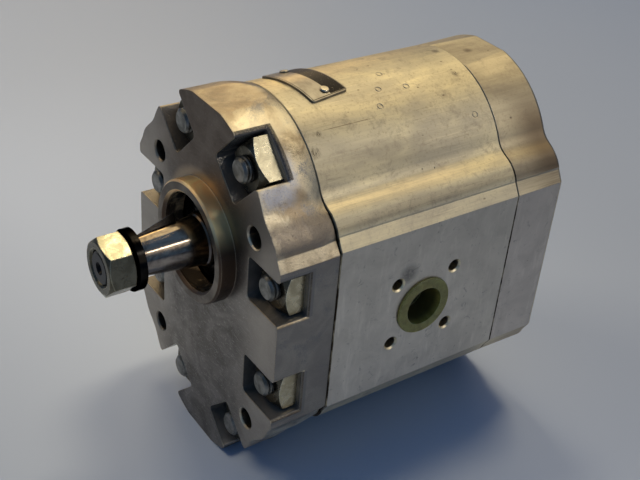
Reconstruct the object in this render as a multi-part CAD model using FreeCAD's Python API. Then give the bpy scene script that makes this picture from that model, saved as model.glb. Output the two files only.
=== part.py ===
"""Hydraulic external gear pump, built as separate solids in millimetres.

Frame: origin at the centre of the pilot spigot on the flange face, on the drive shaft axis.
+Y runs from the flange face to the rear cover, +X points out of the inlet port, +Z is up.
"""
import FreeCAD
import Part
import math
import os

V = FreeCAD.Vector
AXIS = V(0, 1, 0)

# ---- housing stack, along Y from the flange face
COVER_LEN = 26.3
BODY_LEN = 87.1
REAR_LEN = 24.6
BLEND_START = 14.6
BLEND_STEPS = 5
EDGE_BREAK = 0.35
JOINT_FRONT = COVER_LEN
JOINT_REAR = COVER_LEN + BODY_LEN
REAR_FACE = JOINT_REAR + REAR_LEN

# ---- section, half sizes about the section centre
SHAFT_ABOVE_CENTRE = 20.3
SECTION_Z = -SHAFT_ABOVE_CENTRE
SIDE_HALF = 53.5

# Each outline: lobe radius, lobe centre height, half width of the flat top, then the quarter
# section corners (x, z) from the foot of the lobe down to the flat side.
BODY_OUTLINE = (41.5, 36.0, 0.6, 37.3, (41.7, 49.95), (43.8, 49.0), (50.4, 42.0), (50.5, 41.5),
                (SIDE_HALF, 36.6))
FRONT_OUTLINE = (45.0, 34.5, 10.0, 40.3, (43.5, 50.3), (46.5, 47.6), (50.9, 41.0), (51.1, 40.5),
                 (SIDE_HALF + 0.3, 36.0))
COVER_END_OUTLINE = (41.5, 36.0, 0.6, 37.2, (41.5, 49.6), (43.4, 48.5), (49.5, 41.5), (49.8, 40.3),
                     (SIDE_HALF - 0.3, 35.8))
REAR_START_OUTLINE = (41.5, 36.0, 11.4) + BODY_OUTLINE[3:]
REAR_OUTLINE = (43.0, 35.0, 8.6, 38.2, (42.6, 50.2), (44.6, 49.1), (50.7, 42.4), (50.8, 41.6),
                (SIDE_HALF + 0.1, 36.8))
TAIL_OUTLINE = (42.4, 35.0, 8.3, 37.7, (42.1, 49.9), (44.1, 48.7), (50.2, 42.0), (50.3, 41.3),
                (SIDE_HALF - 0.5, 36.5))

# ---- gears
MODULE = 4.0
TEETH = 11
GEAR_SPACING = MODULE * TEETH
GEAR_MID_Z = -GEAR_SPACING / 2
PRESSURE_ANGLE = math.radians(28)
TIP_R = 25.98
ROOT_R = 17.2
FLANK_PLAY = 0.06
GEAR_LEN = 28.0
GEAR_FRONT = JOINT_FRONT + (BODY_LEN - GEAR_LEN) / 2
GEAR_REAR = GEAR_FRONT + GEAR_LEN
CHAMBER_R = 26.05
FACE_PLAY = 0.05

# ---- shafts and bearings
JOURNAL_R = 11.0
BUSH_BORE_R = 11.03
BUSH_R = 13.0
FIT_GAP = 0.01
BLOCK_R = 26.02
TAPER_BIG_R = 10.0
TAPER_BIG_Y = -3.0
TAPER_LEN = 25.0
TAPER_SMALL_R = TAPER_BIG_R - TAPER_LEN / 10
TAPER_SMALL_Y = TAPER_BIG_Y - TAPER_LEN
THREAD_R = 7.0
SHAFT_END_Y = -43.5

# ---- woodruff key 4 x 7.5, rocked in its seat
KEY_DISC_R = 9.5
KEY_HEIGHT = 7.5
KEY_WIDTH = 4.0
KEY_Y = -19.0
KEY_CENTRE_R = 12.0
KEY_TILT = 15.0
KEY_TURN = -39.3

# ---- shaft nut and spring washer
NUT_FLATS = 21.0
NUT_LEN = 10.8
NUT_FRONT_Y = -43.8
NUT_TURN = -14.2
WASHER_IN_R = 7.15
WASHER_OUT_R = 12.05
WASHER_THICK = 3.0
WASHER_RISE = 1.5
WASHER_GAP_DEG = 10.0
WASHER_START_DEG = 205.0

# ---- spigot and shaft seal
SPIGOT_R = 25.0
SPIGOT_LEN = 7.0
SEAL_BORE_R = 20.0
SEAL_BORE_END = 13.0
SEAL_FRONT_Y = 4.0
SEAL_LEN = 7.0
COVER_BORE_R = 13.0
CIRCLIP_Y = 2.1
CIRCLIP_THICK = 1.75
CIRCLIP_GROOVE_R = 21.25

# ---- clamping screws M10 x 125 with square nuts
BOLT_R = 5.0
BOLT_HOLE_R = 5.1
BOLT_LEN = 125.0
BOLT_PITCH = 1.5
HEAD_R = 8.0
HEAD_LEN = 10.0
SOCKET_FLATS = 8.0
SOCKET_DEPTH = 5.0
COUNTERBORE_R = 8.8
HEAD_SEAT_Y = REAR_FACE - 11.5
DIAGONAL_BOLT = (21.3, 60.6)
SIDE_BOLT = (42.4, 22.6)
POCKET_DEPTH = 13.0
SIDE_POCKET_WIDTH = 18.8
DIAGONAL_POCKET_WIDTH = 19.8
SIDE_RIM_R = 1.3
DIAGONAL_RIM_R = 1.4
POCKET_BACK = 9.6
POCKET_CORNER_R = 2.0
SQUARE_NUT = 17.0
SQUARE_NUT_LEN = 8.0

# ---- flange holes M10, tapped
FLANGE_X = 72.0
FLANGE_Z = 85.75
FLANGE_HOLE_R = 4.25
FLANGE_HOLE_DEPTH = 22.0
FLANGE_CHAMFER = 0.6

# ---- ports (inlet on +X, outlet on -X) with M6 screw holes
PORT_Y = JOINT_FRONT + BODY_LEN / 2
INLET_R = 10.0
OUTLET_R = 7.5
INLET_PCD = 40.0
OUTLET_PCD = 35.0
PORT_SCREW_R = 2.5
INLET_SCREW_DEPTH = 8.0
OUTLET_SCREW_DEPTH = 11.0
PORT_SCREW_CHAMFER = 0.7
PLUG_GAP = 0.05
PLUG_WALL = 1.2
INLET_RIM_R = 12.75
OUTLET_RIM_R = 10.2
PLUG_RIM = 1.1
PLUG_DEPTH = 11.0

# ---- joint face seals, pressure seals, dowels
FACE_SEAL_IN_R = 28.5
FACE_SEAL_OUT_R = 31.0
FACE_SEAL_DEPTH = 2.0
PRESSURE_SEAL_IN_R = 20.8
PRESSURE_SEAL_OUT_R = 23.2
PRESSURE_SEAL_DEPTH = 2.4
PRESSURE_SEAL_OPEN_X = 8.0
DOWEL_R = 3.0
DOWEL_LEN = 16.0
DOWEL_X = 44.0

# ---- nameplate on the top of the body
PLATE_LEN = 30.0
PLATE_WIDTH = 17.5
PLATE_THICK = 0.8
PLATE_X = -3.0
PLATE_Y = 44.4
PLATE_TURN = 8.0
RIVET_SPACING = 22.6
RIVET_R = 1.0
RIVET_HEAD_R = 1.8
RIVET_HEAD = 0.7
RIVET_LEN = 4.0

# ---- inspection rings punched in the top of the body, and two casting pits, as (x, y)
PUNCH_MARKS = ((5.3, 74.1), (13.2, 67.9), (20.4, 63.8), (14.8, 80.4), (30.4, 104.6))
PUNCH_OUT_R = 1.35
PUNCH_IN_R = 0.95
PUNCH_DEPTH = 0.2
PITS = ((38.8, 72.8), (39.4, 78.5))
PIT_R = 0.55
PIT_DEPTH = 0.7


def cylinder(radius, y0, y1, x=0.0, z=0.0):
    """Cylinder along Y between two stations."""
    return Part.makeCylinder(radius, y1 - y0, V(x, y0, z), AXIS)


def tube(inner, outer, y0, y1, x=0.0, z=0.0):
    """Plain ring along Y."""
    return cylinder(outer, y0, y1, x, z).cut(cylinder(inner, y0 - 1, y1 + 1, x, z))


def cone(r0, r1, y0, y1, x=0.0, z=0.0):
    """Cone frustum along Y, radius r0 at y0 and r1 at y1."""
    return Part.makeCone(r0, r1, y1 - y0, V(x, y0, z), AXIS)


def box(x0, x1, y0, y1, z0, z1):
    """Axis-aligned block between six planes."""
    return Part.makeBox(x1 - x0, y1 - y0, z1 - z0, V(x0, y0, z0))


def turned(points, x=0.0, z=0.0):
    """Solid of revolution about a Y axis through (x, z); points are (radius, y)."""
    wire = Part.makePolygon([V(r, y, 0) for r, y in points + points[:1]])
    shape = Part.Face(wire).revolve(V(0, 0, 0), AXIS, 360)
    shape.translate(V(x, 0, z))
    return shape


def spun(shape, degrees, x=0.0, z=0.0):
    """Copy of a shape turned about a Y axis through (x, z)."""
    copy = shape.copy()
    copy.rotate(V(x, 0, z), AXIS, degrees)
    return copy


def moved(shape, x=0.0, y=0.0, z=0.0):
    """Copy of a shape shifted by (x, y, z)."""
    copy = shape.copy()
    copy.translate(V(x, y, z))
    return copy


def joined(shapes):
    """One solid from several overlapping ones."""
    result = shapes[0]
    for shape in shapes[1:]:
        result = result.fuse(shape)
    return result.removeSplitter()


def save(name, shapes):
    """Export one solid, or a group of separate solids, as one STEP file."""
    group = shapes if isinstance(shapes, list) else [shapes]
    solids = [solid for shape in group for solid in shape.Solids]
    result = solids[0] if len(solids) == 1 else Part.makeCompound(solids)
    result.exportStep(os.path.join("parts", name + ".step"))


# ---- section outline ---------------------------------------------------------------------

def tangent_mid(start, tangent, end):
    """Middle point of the arc that leaves start along tangent and reaches end."""
    cx, cz = end[0] - start[0], end[1] - start[1]
    chord = math.hypot(cx, cz)
    swing = math.atan2(tangent[1], tangent[0]) - math.atan2(cz, cx)
    bulge = math.tan(swing / 2) * chord / 2
    return (start[0] + cx / 2 - cz / chord * bulge, start[1] + cz / 2 + cx / chord * bulge)


def foot_height(spec):
    """Height above the section centre at which the lobe ends."""
    return spec[1] + math.sqrt(spec[0] ** 2 - spec[3] ** 2)


def quarter(spec):
    """Segments (start, middle or None, end) of the upper right quarter of an outline."""
    radius, centre, flat, foot_x, neck, shoulder, brow, bevel, side = spec
    top = (flat, centre + math.sqrt(radius ** 2 - flat ** 2))
    foot = (foot_x, foot_height(spec))
    mid_angle = (math.asin(flat / radius) + math.asin(foot_x / radius)) / 2
    mid = (radius * math.sin(mid_angle), centre + radius * math.cos(mid_angle))
    leave = (foot[1] - centre, -foot[0])
    slope = (shoulder[0] - neck[0], shoulder[1] - neck[1])
    return [
        (top, mid, foot),
        (foot, tangent_mid(foot, leave, neck), neck),
        (neck, None, shoulder),
        (shoulder, tangent_mid(shoulder, slope, brow), brow),
        (brow, None, bevel),
        (bevel, None, side),
    ]


def flipped(segments, sx, sz, reverse):
    """Mirror image of a list of segments, run backwards when reverse is set."""
    result = []
    for start, mid, end in segments:
        points = [None if p is None else (p[0] * sx, p[1] * sz) for p in (start, mid, end)]
        result.append(tuple(reversed(points)) if reverse else tuple(points))
    return list(reversed(result)) if reverse else result


def outline(spec, y):
    """Closed wire of the housing section at station y."""
    first = quarter(spec)
    loop = []
    for sx, sz, reverse in ((1, 1, False), (1, -1, True), (-1, -1, False), (-1, 1, True)):
        part = flipped(first, sx, sz, reverse)
        if loop:
            loop.append((loop[-1][2], None, part[0][0]))
        loop.extend(part)
    loop.append((loop[-1][2], None, loop[0][0]))
    edges = []
    for start, mid, end in loop:
        a = V(start[0], y, start[1] + SECTION_Z)
        b = V(end[0], y, end[1] + SECTION_Z)
        if mid is None:
            edges.append(Part.makeLine(a, b))
        else:
            edges.append(Part.Arc(a, V(mid[0], y, mid[1] + SECTION_Z), b).toShape())
    return Part.Wire(edges)


def prism(spec, y0, y1):
    """Straight housing block between two stations."""
    return Part.Face(outline(spec, y0)).extrude(V(0, y1 - y0, 0))


def taper_block(spec0, y0, spec1, y1):
    """Housing block that changes from one outline to another."""
    return Part.makeLoft([outline(spec0, y0), outline(spec1, y1)], True, True)


def between(spec0, spec1, share):
    """Outline a share of the way from one outline to another."""
    result = []
    for a, b in zip(spec0, spec1):
        if isinstance(a, tuple):
            result.append(between(a, b, share))
        else:
            result.append(a + (b - a) * share)
    return tuple(result)


def inset(spec, depth):
    """Outline drawn in by about depth all round."""
    radius, centre, flat, foot_x = spec[:4]
    shifts = ((0.5, 0.87), (0.5, 0.87), (1.0, 0.3), (1.0, 0.3), (1.0, 0.4))
    corners = [(x - depth * dx, z - depth * dz) for (x, z), (dx, dz) in zip(spec[4:], shifts)]
    return (radius - depth, centre, flat, foot_x * (radius - depth) / radius) + tuple(corners)


def blend_block(spec0, y0, spec1, y1):
    """Housing block that leaves the first outline smoothly and falls to the second."""
    wires = []
    for k in range(BLEND_STEPS + 1):
        part = k / float(BLEND_STEPS)
        wires.append(outline(between(spec0, spec1, part ** 2), y0 + (y1 - y0) * part))
    return Part.makeLoft(wires, True, False)


# ---- repeated positions ------------------------------------------------------------------

def bolt_places():
    """(x, z, turn) of the eight clamping bolts; turn squares each nut to its pocket."""
    places = []
    for sx in (1, -1):
        for sz in (1, -1):
            places.append((sx * SIDE_BOLT[0], SECTION_Z + sz * SIDE_BOLT[1], 0 if sx > 0 else 180))
            turn = {(1, 1): -45, (1, -1): 45, (-1, 1): -135, (-1, -1): 135}[(sx, sz)]
            places.append((sx * DIAGONAL_BOLT[0], SECTION_Z + sz * DIAGONAL_BOLT[1], turn))
    return places


def flange_places():
    """(x, z) of the four tapped flange holes."""
    return [(sx * FLANGE_X / 2, GEAR_MID_Z + sz * FLANGE_Z / 2) for sx in (1, -1) for sz in (1, -1)]


def dowel_places():
    """(x, z) of the two dowels in each joint face."""
    return [(DOWEL_X, SECTION_Z), (-DOWEL_X, SECTION_Z)]


# ---- housing -----------------------------------------------------------------------------

def figure_eight(radius, y0, y1):
    """Two overlapping cylinders about the gear axes."""
    return joined([cylinder(radius, y0, y1), cylinder(radius, y0, y1, 0, -GEAR_SPACING)])


def stadium(radius, y0, y1):
    """Slot-shaped block about the gear axes."""
    web = box(-radius, radius, y0, y1, -GEAR_SPACING, 0)
    return joined([cylinder(radius, y0, y1), web, cylinder(radius, y0, y1, 0, -GEAR_SPACING)])


def face_seal(y0, y1, gap):
    """Closed seal loop round the gear chamber, thinned by gap on each side."""
    outer = stadium(FACE_SEAL_OUT_R - gap, y0, y1)
    return outer.cut(stadium(FACE_SEAL_IN_R + gap, y0 - 1, y1 + 1))


def pocket_half(turn):
    """Half width of a nut pocket; the diagonal ones are wider."""
    return (DIAGONAL_POCKET_WIDTH if turn % 90 else SIDE_POCKET_WIDTH) / 2


def nut_pocket(x, z, turn):
    """Rectangular pocket with rounded inner corners, open away from the section centre."""
    half = pocket_half(turn)
    block = box(-POCKET_BACK, 40, -1, POCKET_DEPTH, -half, half)
    corners = [edge for edge in block.Edges
               if edge.Length < POCKET_DEPTH + 2
               and abs(edge.CenterOfMass.x + POCKET_BACK) < 0.01
               and abs(abs(edge.CenterOfMass.z) - half) < 0.01]
    block = block.makeFillet(POCKET_CORNER_R, corners)
    return moved(spun(block, turn), x, 0, z)


def pocket_rim(shape, x, z, turn):
    """Edges where the walls of one nut pocket meet the outside of the casting."""
    facing = FreeCAD.Rotation(AXIS, turn)
    outward, sideways = facing.multVec(V(1, 0, 0)), facing.multVec(V(0, 0, 1))
    half = pocket_half(turn)
    rim = []
    for edge in shape.Edges:
        start, span = edge.FirstParameter, edge.LastParameter - edge.FirstParameter
        points = [edge.valueAt(start + span * share) - V(x, 0, z) for share in (0.02, 0.5, 0.98)]
        across = [abs(point.dot(sideways)) for point in points]
        outside = min(point.dot(outward) for point in points) > 2
        depths = [point.y for point in points]
        within = max(across) < half + 0.02 and max(depths) < POCKET_DEPTH + 0.02 and min(depths) > 0.01
        on_side = min(across) > half - 0.01
        on_end = min(depths) > POCKET_DEPTH - 0.01
        if outside and within and on_side != on_end:
            rim.append(edge)
    return rim


def make_front_cover():
    edge_start = COVER_LEN - EDGE_BREAK
    shape = joined([
        prism(FRONT_OUTLINE, 0, BLEND_START),
        blend_block(FRONT_OUTLINE, BLEND_START, COVER_END_OUTLINE, edge_start),
        taper_block(COVER_END_OUTLINE, edge_start, inset(COVER_END_OUTLINE, EDGE_BREAK), COVER_LEN),
        cylinder(SPIGOT_R, -SPIGOT_LEN + 0.8, 1),
        cone(SPIGOT_R - 0.8, SPIGOT_R, -SPIGOT_LEN, -SPIGOT_LEN + 0.8),
    ])
    cuts = [
        cylinder(SEAL_BORE_R, -SPIGOT_LEN - 1, SEAL_BORE_END),
        cone(SEAL_BORE_R + 1.2, SEAL_BORE_R, -SPIGOT_LEN, -SPIGOT_LEN + 1.2),
        cylinder(COVER_BORE_R, 0, COVER_LEN + 1),
        cylinder(CIRCLIP_GROOVE_R, CIRCLIP_Y - 0.05, CIRCLIP_Y + CIRCLIP_THICK + 0.05),
        face_seal(COVER_LEN - FACE_SEAL_DEPTH, COVER_LEN + 1, 0),
    ]
    for x, z, turn in bolt_places():
        cuts.append(nut_pocket(x, z, turn))
        cuts.append(cylinder(BOLT_HOLE_R, 0, COVER_LEN + 1, x, z))
    for x, z in flange_places():
        mouth = FLANGE_HOLE_R + FLANGE_CHAMFER
        cuts.append(cylinder(FLANGE_HOLE_R, -1, FLANGE_HOLE_DEPTH, x, z))
        cuts.append(cone(mouth, FLANGE_HOLE_R, 0, FLANGE_CHAMFER, x, z))
    for x, z in dowel_places():
        cuts.append(cylinder(DOWEL_R + FIT_GAP, COVER_LEN - DOWEL_LEN / 2 - 0.2, COVER_LEN + 1, x, z))
    for cut in cuts:
        shape = shape.cut(cut)
    shape = shape.removeSplitter()
    for x, z, turn in bolt_places():
        rim_r = DIAGONAL_RIM_R if turn % 90 else SIDE_RIM_R
        shape = shape.makeFillet(rim_r, pocket_rim(shape, x, z, turn))
    return shape


def port_cuts(side, bore_r, pcd, depth):
    """Port bore and its four tapped screw holes, drilled in from one side of the body."""
    face = side * SIDE_HALF
    inward = V(-side, 0, 0)
    cuts = [Part.makeCylinder(bore_r, SIDE_HALF - 8, V(face, PORT_Y, GEAR_MID_Z), inward)]
    arm = pcd / 2 / math.sqrt(2)
    for sy in (1, -1):
        for sz in (1, -1):
            mouth = V(face, PORT_Y + sy * arm, GEAR_MID_Z + sz * arm)
            cuts.append(Part.makeCylinder(PORT_SCREW_R, depth, mouth, inward))
            point = mouth + inward * depth
            cuts.append(Part.makeCone(PORT_SCREW_R, 0, PORT_SCREW_R * 0.6, point, inward))
            wide = PORT_SCREW_R + PORT_SCREW_CHAMFER
            cuts.append(Part.makeCone(wide, PORT_SCREW_R, PORT_SCREW_CHAMFER, mouth, inward))
    return cuts


def make_pump_body():
    drawn_in = inset(BODY_OUTLINE, EDGE_BREAK)
    shape = joined([
        taper_block(drawn_in, JOINT_FRONT, BODY_OUTLINE, JOINT_FRONT + EDGE_BREAK),
        prism(BODY_OUTLINE, JOINT_FRONT + EDGE_BREAK, JOINT_REAR - EDGE_BREAK),
        taper_block(BODY_OUTLINE, JOINT_REAR - EDGE_BREAK, drawn_in, JOINT_REAR),
    ])
    cuts = [figure_eight(CHAMBER_R, JOINT_FRONT - 1, JOINT_REAR + 1)]
    cuts += port_cuts(1, INLET_R, INLET_PCD, INLET_SCREW_DEPTH)
    cuts += port_cuts(-1, OUTLET_R, OUTLET_PCD, OUTLET_SCREW_DEPTH)
    for x, z, turn in bolt_places():
        cuts.append(cylinder(BOLT_HOLE_R, JOINT_FRONT - 1, JOINT_REAR + 1, x, z))
    half = DOWEL_LEN / 2 + 0.2
    for x, z in dowel_places():
        cuts.append(cylinder(DOWEL_R + FIT_GAP, JOINT_FRONT - 1, JOINT_FRONT + half, x, z))
        cuts.append(cylinder(DOWEL_R + FIT_GAP, JOINT_REAR - half, JOINT_REAR + 1, x, z))
    cuts += [rivet_tool(RIVET_R + FIT_GAP, -RIVET_LEN - 0.2, 2, s) for s in (1, -1)]
    cuts += [punch_mark(x, y) for x, y in PUNCH_MARKS]
    cuts += [pit(x, y) for x, y in PITS]
    for cut in cuts:
        shape = shape.cut(cut)
    return shape.removeSplitter()


def make_rear_cover():
    chamfer_start = REAR_FACE - 1.2
    drawn_in = inset(REAR_START_OUTLINE, EDGE_BREAK)
    shape = joined([
        taper_block(drawn_in, JOINT_REAR, REAR_START_OUTLINE, JOINT_REAR + EDGE_BREAK),
        taper_block(REAR_START_OUTLINE, JOINT_REAR + EDGE_BREAK, REAR_OUTLINE, chamfer_start),
        taper_block(REAR_OUTLINE, chamfer_start, TAIL_OUTLINE, REAR_FACE),
    ])
    cuts = [face_seal(JOINT_REAR - 1, JOINT_REAR + FACE_SEAL_DEPTH, 0)]
    for x, z, turn in bolt_places():
        cuts.append(cylinder(BOLT_HOLE_R, JOINT_REAR - 1, REAR_FACE + 1, x, z))
        cuts.append(cylinder(COUNTERBORE_R, HEAD_SEAT_Y, REAR_FACE + 1, x, z))
    for x, z in dowel_places():
        cuts.append(cylinder(DOWEL_R + FIT_GAP, JOINT_REAR - 1, JOINT_REAR + DOWEL_LEN / 2 + 0.2, x, z))
    for cut in cuts:
        shape = shape.cut(cut)
    return shape.removeSplitter()


# ---- gears, shafts and bearings ----------------------------------------------------------

def involute(angle):
    return math.tan(angle) - angle


def gear(first_tooth_deg, x, z):
    """Spur gear with involute flanks; the first tooth points along first_tooth_deg in XZ."""
    pitch_r = MODULE * TEETH / 2
    base_r = pitch_r * math.cos(PRESSURE_ANGLE)
    half_pitch = math.pi / 2 / TEETH - FLANK_PLAY / 2 / pitch_r
    at_base = half_pitch + involute(PRESSURE_ANGLE)

    def half_angle(radius):
        return at_base - involute(math.acos(min(1.0, base_r / radius)))

    def point(radius, angle):
        return V(x + radius * math.cos(angle), GEAR_FRONT, z + radius * math.sin(angle))

    radii = [base_r + (TIP_R - base_r) * (k / 8.0) ** 1.6 for k in range(9)]
    step = 2 * math.pi / TEETH
    edges = []
    for tooth in range(TEETH):
        mid = math.radians(first_tooth_deg) + tooth * step
        rising = [point(r, mid - half_angle(r)) for r in radii]
        falling = [point(r, mid + half_angle(r)) for r in reversed(radii)]
        foot_in = point(ROOT_R, mid - at_base)
        foot_out = point(ROOT_R, mid + at_base)
        next_foot = point(ROOT_R, mid + step - at_base)
        up = Part.BSplineCurve()
        up.interpolate(rising)
        down = Part.BSplineCurve()
        down.interpolate(falling)
        edges.append(Part.makeLine(foot_in, rising[0]))
        edges.append(up.toShape())
        edges.append(Part.Arc(rising[-1], point(TIP_R, mid), falling[0]).toShape())
        edges.append(down.toShape())
        edges.append(Part.makeLine(falling[-1], foot_out))
        edges.append(Part.Arc(foot_out, point(ROOT_R, mid + step / 2), next_foot).toShape())
    return Part.Face(Part.Wire(edges)).extrude(V(0, GEAR_LEN, 0))


def keyway():
    """Half-round slot for the key, before it is turned to its place round the shaft."""
    disc = Part.makeCylinder(KEY_DISC_R + 0.03, KEY_WIDTH + 0.02,
                             V(-KEY_WIDTH / 2 - 0.01, KEY_Y, KEY_CENTRE_R), V(1, 0, 0))
    return spun(disc, KEY_TURN)


def make_drive_shaft():
    rear_end = JOINT_REAR - 1.0
    profile = [
        (0, SHAFT_END_Y), (THREAD_R - 1.0, SHAFT_END_Y), (THREAD_R, SHAFT_END_Y + 1.0),
        (THREAD_R, TAPER_SMALL_Y - 2.0), (THREAD_R - 1.0, TAPER_SMALL_Y - 1.6),
        (THREAD_R - 1.0, TAPER_SMALL_Y), (TAPER_SMALL_R, TAPER_SMALL_Y),
        (TAPER_BIG_R, TAPER_BIG_Y), (JOURNAL_R - 0.4, TAPER_BIG_Y + 0.6),
        (JOURNAL_R, TAPER_BIG_Y + 1.6), (JOURNAL_R, GEAR_FRONT + 1), (JOURNAL_R, rear_end - 1),
        (JOURNAL_R - 1, rear_end), (0, rear_end),
    ]
    shape = turned(profile).fuse(gear(-90, 0, 0))
    centre_drill = cone(2.6, 0.8, SHAFT_END_Y, SHAFT_END_Y + 2.4)
    pilot = cylinder(0.8, SHAFT_END_Y, SHAFT_END_Y + 4.5)
    return shape.cut(keyway()).cut(centre_drill).cut(pilot).removeSplitter()


def make_driven_shaft():
    front, rear = JOINT_FRONT + 1.0, JOINT_REAR - 1.0
    profile = [(0, front), (JOURNAL_R - 1, front), (JOURNAL_R, front + 1), (JOURNAL_R, rear - 1),
               (JOURNAL_R - 1, rear), (0, rear)]
    shape = turned(profile, 0, -GEAR_SPACING)
    return shape.fuse(gear(90 + 180.0 / TEETH, 0, -GEAR_SPACING)).removeSplitter()


def pressure_seal(y0, y1, gap):
    """Three-shaped loop round both journals, open on the inlet side."""
    inner, outer = PRESSURE_SEAL_IN_R + gap, PRESSURE_SEAL_OUT_R - gap
    rings = joined([tube(inner, outer, y0, y1), tube(inner, outer, y0, y1, 0, -GEAR_SPACING)])
    reach = PRESSURE_SEAL_OPEN_X + gap
    keep = box(-60, 60, y0 - 1, y1 + 1, -GEAR_SPACING - 60, 60)
    drop = box(reach, 60, y0 - 2, y1 + 2, GEAR_MID_Z - 34, GEAR_MID_Z + 34)
    return rings.common(keep.cut(drop))


def make_block(y0, y1, outer_end):
    """Bearing block with two bush bores and the pressure seal groove in its outer end."""
    shape = figure_eight(BLOCK_R, y0, y1)
    for z in (0, -GEAR_SPACING):
        shape = shape.cut(cylinder(BUSH_R + FIT_GAP, y0 - 1, y1 + 1, 0, z))
    if outer_end < (y0 + y1) / 2:
        groove = pressure_seal(y0 - 1, y0 + PRESSURE_SEAL_DEPTH, 0)
    else:
        groove = pressure_seal(y1 - PRESSURE_SEAL_DEPTH, y1 + 1, 0)
    return shape.cut(groove).removeSplitter()


# ---- shaft end fittings ------------------------------------------------------------------

def make_key():
    disc = Part.makeCylinder(KEY_DISC_R, KEY_WIDTH, V(-KEY_WIDTH / 2, KEY_Y, KEY_CENTRE_R), V(1, 0, 0))
    top = KEY_CENTRE_R - KEY_DISC_R + KEY_HEIGHT
    shape = disc.cut(box(-10, 10, KEY_Y - 20, KEY_Y + 20, top, top + 30))
    shape.rotate(V(0, KEY_Y, KEY_CENTRE_R), V(1, 0, 0), KEY_TILT)
    return spun(shape, KEY_TURN)


def hexagon(flats, y0, y1, chamfer_front, chamfer_rear):
    """Hexagonal prism along Y with a corner up (+Z) and turned corner chamfers."""
    corner = flats / math.sqrt(3)
    points = [V(corner * math.sin(math.radians(60 * k)), y0, corner * math.cos(math.radians(60 * k)))
              for k in range(7)]
    shape = Part.Face(Part.makePolygon(points)).extrude(V(0, y1 - y0, 0))
    slope = math.tan(math.radians(30))
    rise = (corner - flats / 2 * 0.95) * slope
    face_r = flats / 2 * 0.95
    profile = [(0, y0), (face_r if chamfer_front else corner + 1, y0)]
    if chamfer_front:
        profile.append((corner + 0.01, y0 + rise))
    if chamfer_rear:
        profile.append((corner + 0.01, y1 - rise))
    profile += [(face_r if chamfer_rear else corner + 1, y1), (0, y1)]
    return shape.common(turned(profile))


def make_shaft_nut():
    rear = NUT_FRONT_Y + NUT_LEN
    shape = hexagon(NUT_FLATS, NUT_FRONT_Y, rear, True, True)
    shape = shape.cut(cylinder(THREAD_R + FIT_GAP, NUT_FRONT_Y - 1, rear + 1))
    for y0, y1, r0, r1 in ((NUT_FRONT_Y, NUT_FRONT_Y + 0.8, THREAD_R + 0.8, THREAD_R),
                           (rear - 0.8, rear, THREAD_R, THREAD_R + 0.8)):
        shape = shape.cut(cone(r0, r1, y0, y1))
    return spun(shape, NUT_TURN)


def make_spring_washer():
    """Split ring whose two ends stand apart along the shaft."""
    y0 = NUT_FRONT_Y + NUT_LEN + 0.05
    sweep = 360.0 - WASHER_GAP_DEG
    pieces = 24
    sections = []
    for k in range(pieces + 1):
        part = k / float(pieces)
        angle = math.radians(WASHER_START_DEG - sweep * part)
        lift = WASHER_RISE * part
        points = []
        for radius, y in ((WASHER_IN_R, y0), (WASHER_OUT_R, y0), (WASHER_OUT_R, y0 + WASHER_THICK),
                          (WASHER_IN_R, y0 + WASHER_THICK), (WASHER_IN_R, y0)):
            points.append(V(radius * math.sin(angle), y + lift, radius * math.cos(angle)))
        sections.append(Part.makePolygon(points))
    return Part.makeLoft(sections, True, False)


# ---- shaft seal --------------------------------------------------------------------------

def make_seal_parts():
    """Case, rubber lip and garter spring of the radial shaft seal."""
    y0, y1 = SEAL_FRONT_Y, SEAL_FRONT_Y + SEAL_LEN
    out_r = SEAL_BORE_R - FIT_GAP
    case = turned([(out_r - 5.6, y0), (out_r - 0.5, y0), (out_r, y0 + 0.5), (out_r, y1),
                   (out_r - 1.0, y1), (out_r - 1.0, y0 + 1.1), (out_r - 5.6, y0 + 1.1)])
    lip_r = JOURNAL_R + 0.04
    lip = turned([(out_r - 5.65, y0 + 0.1), (out_r - 5.65, y0 + 1.2), (out_r - 3.0, y0 + 1.2),
                  (out_r - 3.0, y0 + 2.3), (lip_r + 2.3, y0 + 2.4), (lip_r + 2.4, y0 + 4.2),
                  (lip_r + 1.4, y0 + 4.2), (lip_r + 1.4, y0 + 5.8), (lip_r + 2.4, y0 + 5.8),
                  (lip_r + 2.4, y0 + 6.5), (lip_r + 0.9, y0 + 6.5), (lip_r, y0 + 5.0),
                  (lip_r + 0.8, y0 + 2.4), (lip_r + 0.7, y0 + 1.3), (lip_r + 0.1, y0 + 0.1)])
    spring = Part.makeTorus(lip_r + 2.15, 0.72, V(0, y0 + 5.0, 0), AXIS)
    return case, lip, spring


def make_circlip():
    """Internal retaining ring with two eyed ears and a gap between them."""
    y0, y1 = CIRCLIP_Y, CIRCLIP_Y + CIRCLIP_THICK
    ring = tube(CIRCLIP_GROOVE_R - 4.0, CIRCLIP_GROOVE_R - 0.1, y0, y1)
    ring = ring.cut(box(-3.4, 3.4, y0 - 1, y1 + 1, 0, 30))
    ears = []
    for side in (1, -1):
        lug = cylinder(2.0, y0, y1, side * 5.0, CIRCLIP_GROOVE_R - 4.9)
        ears.append(lug)
    ring = joined([ring] + ears)
    for side in (1, -1):
        ring = ring.cut(cylinder(1.1, y0 - 1, y1 + 1, side * 5.0, CIRCLIP_GROOVE_R - 4.9))
    return spun(ring, 140)


# ---- fasteners ---------------------------------------------------------------------------

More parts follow.
